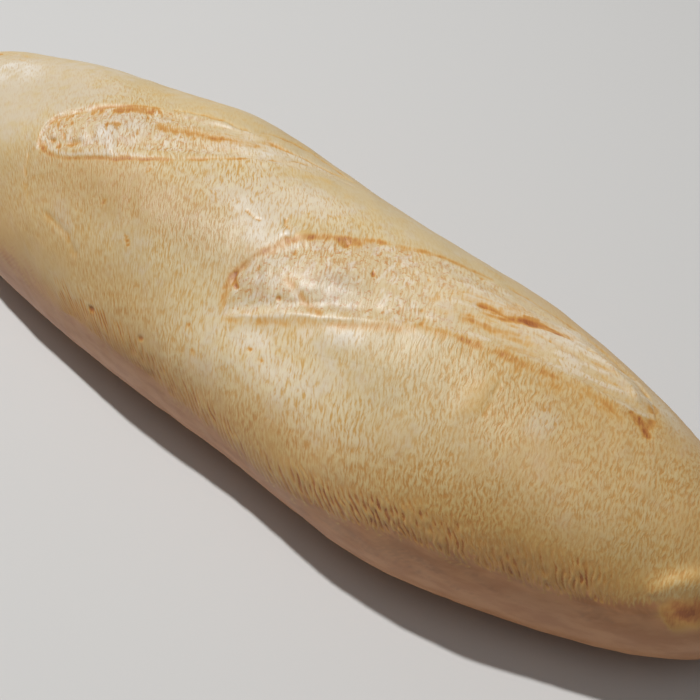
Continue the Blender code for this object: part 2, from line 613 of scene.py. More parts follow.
def add_node(tree: bpy.types.NodeTree, kind: str, *values: Any, output: int | str = 0,
             **settings: Any) -> bpy.types.NodeSocket | None:
    """Adds one node to a material, with its settings, values and links.

    Args:
        tree: The material's node tree.
        kind: The node's type name, without the ShaderNode that they all start with.
        *values: What goes into its inputs in their order, or one dictionary by name or number. Each
            is a number, a vector, a hex colour, or another node's output to link.
        output: Which output is wanted.
        **settings: The node's own properties.

    Returns:
        That output, or None for a node that has no outputs.
    """
    node = tree.nodes.new("ShaderNode" + kind)
    for key, value in settings.items():
        setattr(node, key, value)
    inputs = values[0] if values and isinstance(values[0], dict) else dict(enumerate(values))
    for key, value in inputs.items():
        if isinstance(value, bpy.types.NodeSocket):
            tree.links.new(value, node.inputs[key])
        else:
            node.inputs[key].default_value = linear_colour(value) if isinstance(value, str) else value
    return node.outputs[output] if node.outputs else None


# Lines that show on the skin, each drawn where it lies on the loaf
LEFT_SLASH_LINES = (
    Line(((-111, -9.6), (-104, -7.5), (-96, -3.6), (-88, 0.6), (-80, 5.0)), 0.55, 0.25, 0.40),
    Line(((-112, -6.5), (-106, -0.5), (-99, 3.8), (-92, 6.6), (-86, 8.0)), 0.7, 0.35, 0.80, ticks=0.6),
    Line(((-92, 9.8), (-86, 9.6), (-81, 9.2), (-77, 8.6)), 0.5, 0.08, 0.16),
    Line(((-83, 5.0), (-79, 5.1), (-75, 6.2)), 0.6, 0.08, 0.16),
    Line(((-100, -1.5), (-93, 2.2), (-86, 5.0)), 0.8, 0.3, 0.40),
)
MIDDLE_SLASH_LINES = (
    Line(((-48.4, -11), (-47.6, -7.2), (-44.6, -3.8), (-41, -0.4), (-37, 2.8), (-33, 5.6), (-29, 8)),
         0.50, 0.10, 0.40),
    Line(((-47.2, -9), (-46.2, -6.6), (-43.6, -3.8), (-40, -0.9), (-36, 2), (-32, 4.6), (-28, 7.2)),
         1.4, 0.10, 0.54, ticks=0.9),
    Line(((-29, 8), (-25, 10.2), (-20, 12), (-15, 13.6), (-9, 15.2)), 0.45, 0.20, 0.30, ticks=0.4),
    Line(((-48, -12), (-46.3, -13.9), (-43.5, -15.2), (-40, -15.2), (-35, -13.5), (-30, -11.1),
          (-25, -8.5), (-20, -5.7), (-14, -1.6)), 0.62, 0.03, 0.48),
    Line(((-45.5, -13.2), (-42, -14.2), (-37, -13.2), (-31, -10.7), (-25, -7.6), (-19, -4.2)),
         0.45, -0.04, 0.0, 0.45),
    Line(((-27.5, 2.2), (-23, 3.1), (-19, 5.0), (-15, 6.7), (-12, 8), (-9, 9.6), (-6.5, 11.4), (-4, 13.4)),
         1.3, 0.18, 0.44, ticks=0.15),
    Line(((-19, 11), (-14, 12.7), (-9, 14.3), (-4, 16.2), (1, 18), (5, 19.8)), 0.5, -0.15, 0.0, 0.25),
    Line(((-7, 15.0), (-2, 16.8), (3, 18.8), (7, 20.8), (12, 23)), 0.4, 0.30, 0.36),
    Line(((-9.5, 16), (-7, 19.6), (-3.4, 22.8), (1, 25), (6, 25.6), (10, 25), (14, 23.8)), 0.6, 0.25, 0.30),
    Line(((-14, -1.6), (-8, 2.6), (-3, 7), (0.5, 11.5), (3, 16), (7, 19.8)), 0.55, 0.2, 0.34),
)
RIGHT_SLASH_LINES = (
    Line(((16.6, -24.6), (13.7, -20), (13.4, -16.5), (14.8, -12), (17, -7.6), (20, -3.2), (25, 0.8),
          (30, 4.4), (34.5, 7.4)), 0.90, 0.12, 0.56, ticks=0.25),
    Line(((13.5, -15.2), (14.0, -16.4), (14.8, -17.6), (16.0, -18.6)), 0.60, 0.16, 0.95, ticks=0.1),
    Line(((16.8, -9.4), (17.0, -7.4), (18.6, -5.0), (20.4, -3.0)), 1.0, 0.05, 0.60, ticks=0.4),
    Line(((26, 1.0), (28.5, 2.8), (30.5, 4.2)), 1.3, 0.05, 0.52, ticks=0.4),
    Line(((34.5, 7.4), (38.5, 9.6), (43, 12.2), (48, 14.6), (53, 16.8)), 0.75, 0.08, 0.34),
    Line(((53, 16.8), (60, 18.6), (68, 19), (74, 18.3), (80, 17), (85, 15), (88.2, 12.4)), 0.60, 0.08, 0.28),
    Line(((17.3, -23.5), (22, -20.9), (27, -17.7), (33, -14.3), (40, -10.4)), 0.36, -0.04, 0.0, 0.45),
    Line(((15.5, -25.4), (22, -21.9), (28, -18.4), (34, -15.1), (41, -11.2), (46, -7.8), (51, -5.0)),
         1.05, 0.03, 0.27),
    Line(((34, -15), (37, -13.6), (41, -11), (44.5, -8.6), (50, -5.0), (52.5, -3.8)),
         1.0, 0.06, 0.30, ticks=0.3),
    Line(((50, -5.2), (54, -3.5), (58, -2.1), (62, -1), (67, 0.1), (72, 1.5), (77, 3.2), (83, 4.2),
          (88, 4.4)), 1.05, 0.08, 0.42, ticks=0.25),
    Line(((65, -1.4), (70, -0.6), (75, 1.0), (80, 2.6), (86, 3.2)), 1.3, 0.0, 0.30, ticks=0.7),
    Line(((54, 5.2), (58, 6.0), (60.5, 7.2), (63, 9.2), (66, 11.4), (69, 13.0), (72.6, 14.4)),
         1.15, 0.30, 1.00, ticks=0.15),
    Line(((57.5, 7.2), (60.0, 8.6), (63, 10.9), (66, 12.9), (69, 14.4), (72, 15.6)),
         1.1, 0.08, 0.42, ticks=0.4),
    Line(((53.5, 0.8), (57, 2.3), (60, 2.8), (62.5, 4), (66, 6)), 0.90, 0.16, 0.50, ticks=0.4),
    Line(((46.8, 0.2), (48, 0.9), (49.5, 2.2)), 0.80, 0.08, 0.34, ticks=0.3),
    Line(((65, 7.4), (70, 8.9), (75, 9.4), (80, 9.5), (86, 10.2)), 0.50, 0.12, 0.30, ticks=0.3),
    Line(((52, 11), (56, 12), (60, 13.6)), 1.4, 0.15, 0.16),
    Line(((22.5, -10.8), (27, -11.9), (31, -13.6), (34.5, -12.8)), 0.90, 0.07, 0.34),
    Line(((88.3, 12.6), (89.8, 10), (90.4, 7.4), (90.4, 5)), 1.10, 0.10, 0.60, ticks=0.2),
    Line(((86.5, 6.6), (88.5, 6.2), (90.5, 4.8), (91.8, 3.6)), 0.95, 0.10, 0.80, ticks=0.2),
    Line(((74, 14.8), (79, 13.6), (84, 12.2), (87, 9.4)), 0.9, -0.25, 0.0, 0.25),
)
CRUST_LINES = (
    Line(((-47.5, -16), (-46, -19.4), (-43.5, -23.4), (-40.5, -27)), 0.45, 0.20, 0.22),
    Line(((-35.5, -26.6), (-31, -27.4), (-27, -28.4), (-24.5, -30.2), (-22, -32)), 0.75, 0.30, 0.28),
    Line(((14.6, -1), (15.8, -2.4), (17.6, -2.7)), 0.40, 0.35, 0.45),
    Line(((6.8, -3.8), (9.4, -4.5), (11.6, -4.2)), 0.35, 0.15, 0.32),
    Line(((-12.6, -21.6), (-11.4, -22.4), (-9.8, -23.1)), 0.38, 0.2, 0.65),
    Line(((66.6, -4.6), (67.2, -8), (67.8, -11.8)), 0.45, 0.12, 0.26),
    Line(((109.4, -8.5), (107.4, -12), (105.0, -16), (103.6, -18.2)), 1.1, -0.22),
    Line(((115, -10.4), (112, -13.6), (109.4, -17), (107, -20)), 2.2, 0.10, 0.78),
)
SKIN_LINES = LEFT_SLASH_LINES + MIDDLE_SLASH_LINES + RIGHT_SLASH_LINES + CRUST_LINES

# Places that stand out: swellings of the crumb, smooth blisters, pale places and pits, and places of painted
# light, shade, highlights and sheen
SKIN_SPOTS = (
    # Swelling in the right slash's head, with painted shade over it and pale crests painted as highlights
    Spot(32.5, -7.0, 5.0, 3.6, height=0.10, pale=0.25, light=-0.18),
    Spot(35.0, -6.5, 3.0, 1.4, height=0.10, pale=0.45),
    Spot(29.0, -9.5, 3.0, 1.2, slant=50, height=0.08, pale=0.40),
    Spot(18.5, -14.0, 5.0, 3.6, slant=70, light=-0.05, tone=-0.3),
    Spot(32.0, -18.4, 3.6, 1.4, tone=1.2),
    Spot(26.0, -15.5, 5.0, 3.0, tone=-0.35),
    # Glossy lumps in the middle slash's head, whitened as painted highlights, then its pits
    Spot(-33.5, -5.5, 3.4, 2.2, slant=-50, height=0.45, pale=0.95),
    Spot(-30.0, -6.8, 2.8, 1.3, slant=-50, height=0.40, pale=0.95),
    Spot(-37.5, -8.0, 2.6, 1.3, slant=-40, height=0.30, pale=0.60),
    Spot(-31.0, -10.0, 4.4, 1.3, slant=25, height=0.10, pale=0.70),
    Spot(-44.0, -12.0, 0.9, 0.6, height=-0.30, toast=0.50),
    Spot(-38.5, -10.6, 1.8, 0.8, height=-0.30, toast=0.50),
    Spot(-33.5, -2.2, 1.3, 0.8, height=-0.30, toast=0.50),
    Spot(65.0, -9.0, 4.6, 2.1, slant=80, height=0.25, tone=0.45, smooth=0.60),
    Spot(76.5, -6.0, 3.4, 2.4, slant=60, tone=-0.75, bake=-0.25),
    # Broad places of painted light and shade, some also paler, creamier or more baked
    Spot(16.0, -34.0, 17.0, 9.5, slant=12, light=0.22, tone=-0.15, bake=-0.50),
    Spot(36.0, -26.0, 15.0, 9.0, slant=-15, light=0.18, pale=0.20, tone=-0.20, bake=-0.30),
    Spot(18.0, -47.0, 14.0, 4.5, slant=0, light=0.10),
    Spot(50.0, -41.0, 16.0, 7.0, slant=10, light=0.07, bake=-0.10),
    Spot(62.0, 8.0, 22.0, 8.0, slant=15, light=0.10, pale=0.22, tone=-0.30),
    Spot(-3.0, 12.0, 13.0, 5.0, slant=32, light=0.04, pale=0.65),
    Spot(28.0, -27.0, 17.0, 5.0, slant=8, light=0.08, pale=0.30),
    # A whitish painted sheen near the left end
    Spot(-73.0, 1.0, 8.0, 5.0, slant=0, pale=1.0, light=0.03),
    Spot(-31.0, -2.5, 6.0, 4.5, pale=0.65, light=-0.09),
    Spot(16.0, 5.0, 9.0, 5.0, slant=20, light=0.06, pale=0.18, tone=-0.30),
    Spot(80.0, 12.0, 9.0, 4.0, slant=-15, light=0.08, pale=0.20),
    Spot(107.8, -13.0, 5.0, 2.3, slant=57, tone=1.2, bake=-0.4, light=0.22),
    Spot(106.0, -16.6, 3.4, 2.0, slant=50, light=0.22),
    Spot(86.0, -14.0, 10.0, 6.0, slant=10, tone=-0.25, light=0.06),
    Spot(-23.0, -15.5, 27.0, 7.5, slant=12, light=-0.17, bake=0.60),
    Spot(29.5, -13.8, 12.0, 1.5, slant=31, light=-0.09),
    Spot(-22.0, -40.0, 18.0, 5.0, slant=0, bake=-0.45, light=0.03),
    Spot(101.0, -14.0, 11.0, 8.0, slant=0, light=-0.02, tone=0.50),
    Spot(110.4, -15.6, 5.0, 2.4, slant=50, light=0.30),
    Spot(99.0, 5.0, 8.0, 6.0, light=-0.07),
    Spot(91.0, 14.0, 5.0, 3.0, slant=-30, pale=0.40, bake=-0.4),
    Spot(10.0, -13.0, 18.0, 7.0, slant=5, light=-0.10, bake=0.10),
    Spot(19.0, -12.0, 6.5, 4.0, slant=50, light=-0.03, bake=0.40),
    Spot(-66.0, 0.0, 26.0, 16.0, slant=10, tone=-0.55, light=-0.03),
    Spot(90.0, 9.0, 6.0, 5.0, light=-0.08, bake=0.10),
    Spot(66.0, 11.0, 14.0, 5.0, slant=12, pale=0.22, tone=-0.6, bake=-0.25, light=0.03),
    Spot(-28.0, -5.0, 5.0, 4.0, tone=-0.9, light=0.04),
    Spot(70.0, -38.0, 6.0, 3.5, light=-0.08),
    Spot(88.0, -29.0, 7.0, 3.5, slant=10, light=-0.08),
    Spot(88.0, -35.0, 10.0, 5.0, slant=-10, light=-0.06, bake=0.45),
    Spot(32.0, -28.0, 4.5, 3.0, tone=-0.35),
    Spot(-30.0, -25.0, 6.0, 2.4, slant=-40, tone=-0.55),
    # White strokes below the right slash's near edge, painted highlights
    Spot(37.0, -15.4, 9.0, 2.1, pale=0.55, tone=-0.10),
    Spot(24.0, -24.8, 6.0, 2.1, pale=0.50, tone=-0.20),
    # The crack's small bump, whitened as a painted highlight, and a smooth yellow bump
    Spot(17.4, -3.2, 2.2, 1.0, slant=60, height=0.25, pale=1.0),
    Spot(20.2, -2.0, 1.5, 1.3, height=0.25, tone=0.9, smooth=0.9),
    # A whitish painted sheen beside the crack, then creamier places
    Spot(12.0, -5.0, 8.0, 4.5, slant=-20, pale=0.42, tone=-0.40),
    Spot(4.5, -3.5, 6.0, 3.2, slant=-15, pale=0.50, light=0.03),
    Spot(2.0, -1.0, 9.0, 5.0, tone=-0.40),
    Spot(8.0, 4.0, 16.0, 9.0, tone=-0.45),
    Spot(7.0, 12.5, 5.0, 4.0, tone=0.45, smooth=0.6),
    Spot(12.8, -34.6, 0.5, 0.8, slant=0, toast=0.65, height=-0.2),
    Spot(9.8, -30.2, 0.4, 0.7, slant=0, toast=0.60, height=-0.2),
    Spot(-0.6, -39.8, 0.7, 0.6, toast=0.70, height=-0.2),
    Spot(-15.2, -41.0, 0.9, 0.8, toast=0.75, height=-0.3),
    Spot(24.4, -26.5, 0.5, 0.4, toast=0.65, height=-0.2),
    Spot(27.4, -27.0, 0.4, 0.5, toast=0.50, height=-0.2),
    Spot(-21.6, -18.0, 0.5, 0.9, toast=0.55, height=-0.2),
    Spot(-17.6, -7.4, 0.6, 0.9, toast=0.50, height=-0.2),
    Spot(24.8, -15.2, 0.6, 0.6, toast=0.55, height=-0.2),
    Spot(-104.0, 6.0, 5.0, 4.0, height=0.35, pale=0.6),
)


@dataclass
class Skin:
    """The loaf's fine surface: its low relief, how baked, pale or wrinkled each place is, and the light,
    shade, highlights and sheen painted into its colour.
    """

    form: LoafForm
    lines: tuple[Line, ...] = SKIN_LINES
    spots: tuple[Spot, ...] = SKIN_SPOTS
    lump_height: float = 0.20 * MM
    broad_height: float = 0.06 * MM
    stroke_height: float = 0.04 * MM
    dimple_height: float = 0.08 * MM
    pit_depth: float = 0.15 * MM
    strand_height: float = 0.26 * MM
    strand_bend: float = 0.9 * MM
    fringe_height: float = 0.15 * MM
    fringe_pitch: float = 1.20 * MM
    fringe_reach: float = 10 * MM
    fringe_fade: float = 5 * MM
    belly_angle: float = 87.0
    wobble: float = 0.35 * MM
    lumps: Pattern = Pattern(10 * MM, 10 * MM, 3, 2)
    broad: Pattern = Pattern(2.3 * MM, 6 * MM, 5)
    ragged: Pattern = Pattern(7 * MM, 7 * MM, 41, 3)
    uneven: Pattern = Pattern(2.2 * MM, 2.2 * MM, 43, 2)
    strokes: Pattern = Pattern(1.15 * MM, 4.5 * MM, 47, 2)
    patchy: Pattern = Pattern(14 * MM, 14 * MM, 53, 2)
    ticks: Pattern = Pattern(0.95 * MM, 3.2 * MM, 59, 2)
    dimples: Pattern = Pattern(1.9 * MM, 3.2 * MM, 61, 2)
    comb_shift: Pattern = Pattern(2.6 * MM, 3.2 * MM, 71)
    loose_ridges: Pattern = Pattern(0.75 * MM, 2.0 * MM, 73)
    wobble_along: Pattern = Pattern(2.3 * MM, 2.3 * MM, 81)
    wobble_around: Pattern = Pattern(2.3 * MM, 2.3 * MM, 83)
    freckles: Pattern = Pattern(0.9 * MM, 1.4 * MM, 91, 2)
    streaks: Pattern = Pattern(7 * MM, 1.7 * MM, 95, 3)

    def arc(self, x: np.ndarray) -> np.ndarray:
        """Length along the loaf's flank from its middle to x, which keeps patterns even at the tips.

        Args:
            x: Places along the loaf.

        Returns:
            Running lengths of the outline's steps, in metres, negative to the left.
        """
        s = np.sin(np.linspace(-math.pi / 2, math.pi / 2, 4001))
        width = self.form.half_sizes(s)[0]
        steps = np.hypot(np.diff(s) * self.form.length / 2, np.diff(width))
        length = np.concatenate([[0.0], np.cumsum(steps)])
        return np.interp(x, s * self.form.length / 2, length - length[len(s) // 2])

    def grain(self, x: np.ndarray, around: np.ndarray) -> tuple[np.ndarray, np.ndarray]:
        """Coordinates across and along the wrinkles, which lean more at the left than low at the right.

        A wrinkle is a curve x + A around + B around^2 / 2 = constant, where A falls off along the loaf
        and B stands the wrinkles upright low on the near flank. They grow shorter towards the right.

        Args:
            x: Places along the loaf.
            around: Places around the crust.

        Returns:
            Metres across the wrinkles and metres along them.
        """
        run = self.arc(x)
        low = np.clip(around, -52 * MM, 15 * MM)
        lean = 0.84 - 5.6 * np.clip(x, -0.11, 0.11)
        upright = 15.0 * bell((x - 12 * MM) / (38 * MM))
        across = 0.80 * (run + lean * around + upright * low**2 / 2)
        shorter = 1.0 + 0.6 * ramp_up(x, 45, 45)
        along = 0.85 * around * shorter - 0.50 * run
        return across, along

    def belly_edge(self, x: np.ndarray) -> np.ndarray:
        """The angle from the ridge where the smooth lower skin begins.

        It climbs at both ends and falls back just before the tips, which the crust wraps.

        Args:
            x: Places along the loaf.

        Returns:
            Angles in radians.
        """
        right = np.clip((x - 30 * MM) / (76 * MM), 0.0, 1.3)
        left = np.clip((-10 * MM - x) / (100 * MM), 0.0, 1.3)
        middle = 8.0 * bell((x + 9 * MM) / (18 * MM)) + 6.0 * bell((x - 66 * MM) / (18 * MM))
        fold = 12.0 * ramp_up(x, 102, 9)
        tips = 60.0 * ramp_up(x, 112, 11) + 45.0 * ramp_down(x, -98, 22)
        return np.radians(self.belly_angle - 27.0 * right**1.5 - 20.0 * left - middle - fold + tips)

    def slash_parts(self, x: np.ndarray, around: np.ndarray) -> tuple[np.ndarray, np.ndarray, np.ndarray]:
        """How much each place lies in a slash, and in its drawn-out tail, with the tail's strands.

        Args:
            x: Places along the loaf.
            around: Places around the crust.

        Returns:
            Amounts of crumb and of stretch from 0 to 1, and strand heights from -1 to 1.
        """
        crumb, stretch, strand = np.zeros_like(x), np.zeros_like(x), np.zeros_like(x)
        for row in self.form.slashes:
            t, q = row.own_frame(x, around)
            along = t * row.span()
            mask = ramp_up(row.inside(x, around), -0.2, 1.4)
            bend = self.strand_bend * Pattern(9 * MM, 7 * MM, row.seed + 1, 2).at(along, q)
            late = smooth_step((t - row.stretch_from + 0.12 * bend / MM) / 0.26) * mask
            strands = Pattern(8 * MM, 1.35 * MM, row.seed + 6, 3).at(along + 3 * bend, q + bend)
            crumb = np.maximum(crumb, mask)
            stretch = np.maximum(stretch, late)
            strand = np.where(mask > 0.0, strands, strand)
        return crumb, stretch, strand

    def fringe_parts(self, x: np.ndarray, around: np.ndarray, turn: np.ndarray,
                     ragged: np.ndarray) -> tuple[np.ndarray, np.ndarray, np.ndarray, np.ndarray]:
        """The smooth lower skin's toothed upper edge, and the fringe of short ridges above it.

        The ridges are a comb, a sine across the wrinkles with a shifted phase, plus loose ridges.

        Args:
            x: Places along the loaf.
            around: Places around the crust.
            turn: Angles round the section.
            ragged: Noise that makes the edge ragged.

        Returns:
            Radians past the edge, amounts of lower skin and of fringe, and ridge heights.
        """
        across, along = self.grain(x, around)
        slanted = across + 0.30 * around
        shift = 3.0 * self.comb_shift.at(slanted, along)
        comb = np.sin(TAU * slanted / self.fringe_pitch + shift)
        ridges = 0.52 * comb + 0.72 * self.loose_ridges.at(slanted, along)
        rightward = 0.70 + 0.30 * ramp_up(x, 15, 40)
        teeth_fade = 1.0 - 0.7 * ramp_up(x, 92, 12)
        plain = np.abs(turn) - self.belly_edge(x) + 0.045 * ragged
        past = plain - 0.16 * rightward * teeth_fade * ridges
        soft = 0.06 + 0.27 * ramp_down(x, 48, 60)
        belly = smooth_step(past / soft + 0.5)
        above = -(plain - 0.06) * np.maximum(self.form.half_width(x), 1 * MM)
        fringe = smooth_step((self.fringe_reach - above) / self.fringe_fade)
        fringe = fringe * smooth_step(above / (1.2 * MM) + 0.8)
        fringe = fringe * rightward * ramp_up(x, -36, 12) * np.clip(0.8 + 0.7 * ragged, 0, 1)
        return past, belly, fringe * (1.0 - ramp_up(x, 95, 8)), ridges

    def draw(self, x: np.ndarray, around: np.ndarray, broken: np.ndarray,
             drawn: dict[str, np.ndarray]) -> None:
        """Draws the lines and spots into the heights and amounts, each edge wobbling a little.

        Args:
            x: Places along the loaf.
            around: Places around the crust.
            broken: How much of a line's toasting is left on the strands.
            drawn: Named heights and amounts, which this changes.
        """
        near_x = x + self.wobble * self.wobble_along.at(x, around)
        near_around = around + self.wobble * self.wobble_around.at(x, around)
        uneven = self.uneven.at(x, around)
        ticked = smooth_step((self.ticks.at(*self.grain(x, around)) + 0.14) / 0.28)
        for line in self.lines:
            close = line.closeness(near_x, near_around)
            level = close * broken * (1.0 - line.ticks + line.ticks * ticked)
            toast = line.toast * level * np.clip(0.90 + 0.45 * uneven, 0.3, 1.3)
            drawn["height"] = drawn["height"] - line.depth * MM * close
            drawn["toast"] = np.maximum(drawn["toast"], toast)
            drawn["pale"] = np.maximum(drawn["pale"], line.pale * close)
        for spot in self.spots:
            close = spot.closeness(near_x, near_around)
            pale = spot.pale * close * np.clip(0.65 + 0.8 * uneven, 0.0, 1.0)
            drawn["height"] = drawn["height"] + spot.height * MM * close
            drawn["pale"] = np.maximum(drawn["pale"], pale)
            for key in ("toast", "smooth"):
                drawn[key] = np.maximum(drawn[key], getattr(spot, key) * close)
            # Tone, painted light and shade, and baking add up
            for key in ("tone", "light", "bake"):
                drawn[key] = drawn[key] + getattr(spot, key) * close

    def detail(self, x: np.ndarray, around: np.ndarray,
               turn: np.ndarray) -> tuple[np.ndarray, dict[str, np.ndarray]]:
        """Fine relief and colour amounts of the skin.

        Lumps all over, drawn lines and spots, a dimpled crumb in the slashes' heads, strands in their
        tails, and a fringe of short ridges above the smooth lower skin, which has the lower skin's
        colour in its hollows. The light amount paints light and shade into the colour.

        Args:
            x: Places along the loaf.
            around: Places around the crust.
            turn: Angles round the section.

        Returns:
            Heights in metres, and named amounts.
        """
        across, along = self.grain(x, around)
        ragged, patchy = self.ragged.at(x, around), self.patchy.at(x, around)
        dimple = self.dimples.at(across, along)
        crumb, stretch, strand = self.slash_parts(x, around)
        head = crumb * (1.0 - stretch)
        past, belly, fringe, ridges = self.fringe_parts(x, around, turn, ragged)
        pits = smooth_step((-dimple - 0.50) / 0.25) * head

        broad = self.broad_height * self.broad.at(across, along) * (1.0 - crumb)
        height = self.lump_height * self.lumps.at(x, around) + broad
        height = height + head * (self.stroke_height * self.strokes.at(across, along)
                                  + self.dimple_height * dimple)
        height = height + self.strand_height * stretch * strand
        height = height + self.fringe_height * fringe * ridges - self.pit_depth * pits

        near_share = np.where(around > 0.0, 0.5, 1.0)
        toast = 0.80 * fringe * smooth_step((-ridges - 0.06) / 0.45) * near_share
        toast = np.maximum(toast, 0.22 * stretch * smooth_step((-strand - 0.05) / 0.5))
        toast = np.maximum(toast, 0.50 * pits)
        pale = 0.40 * head * smooth_step((-self.freckles.at(x, around) - 0.02) / 0.4)
        pale = np.maximum(pale, 0.45 * stretch * smooth_step((strand - 0.08) / 0.35))
        tone = 0.25 * patchy + 0.12 * ramp_up(around, 4, 14) * (1.0 - crumb)
        under_edge = bell((past - 0.16) / 0.14) * ramp_up(x, 5, 30)
        # Painted light on the far side and low on the near flank right of the middle, and painted shade in
        # streaks just under the lower skin's edge
        light = 0.07 * ramp_up(around, -1, 9) * (1.0 - 0.5 * crumb)
        light = light - 0.20 * under_edge * smooth_step((self.streaks.at(x, around) + 0.25) / 0.7)
        light = light + 0.05 * ramp_down(around, -26, 8) * ramp_up(x, -5, 20)
        flank = smooth_step((np.abs(turn) - 0.55) / 0.80)
        right_end = 0.55 * ramp_up(x, 48, 34) + 0.40 * ramp_up(x, 95, 20)
        bake = flank + right_end + 0.45 * ramp_down(x, -98, 22)
        smooth = 0.75 * ramp_up(around, 6, 10) * (1.0 - crumb)

        drawn = {"height": height, "toast": toast, "pale": pale, "tone": tone, "light": light,
                 "bake": bake, "smooth": smooth}
        self.draw(x, around, 1.0 - 0.65 * stretch * smooth_step((strand + 0.12) / 0.35), drawn)

        hollows = near_share * smooth_step(fringe * smooth_step((-ridges + 0.02) / 0.55) * 1.4)
        left_smooth = 0.65 * ramp_down(x, -46, 12)
        low_left = 0.70 * ramp_down(around, -30, 8) * ramp_down(x, -15, 12)
        wrinkle = (1.0 - drawn["smooth"]) * (1.0 - left_smooth) * (1.0 - low_left) * (1.0 - 0.85 * belly)
        wrinkle = wrinkle * (1.0 - 0.70 * stretch) * (1.0 - 0.5 * fringe)
        return drawn["height"], {
            "toast": drawn["toast"],
            "pale": drawn["pale"],
            "tone": drawn["tone"],
            "bake": np.clip(drawn["bake"], 0.0, 1.5) * (1.0 - 0.45 * crumb),
            "belly": np.maximum(belly, hollows),
            "crumb": crumb * (0.80 - 0.50 * stretch),
            "wrinkle": wrinkle * np.clip(0.95 + 0.45 * patchy, 0.5, 1.2),
            "light": drawn["light"],
        }


# What a material's nodes do most often
TIMES = {"operation": "MULTIPLY"}
PLUS = {"operation": "ADD"}
TIMES_PLUS = {"operation": "MULTIPLY_ADD"}
SOFT = {"interpolation_type": "SMOOTHSTEP"}


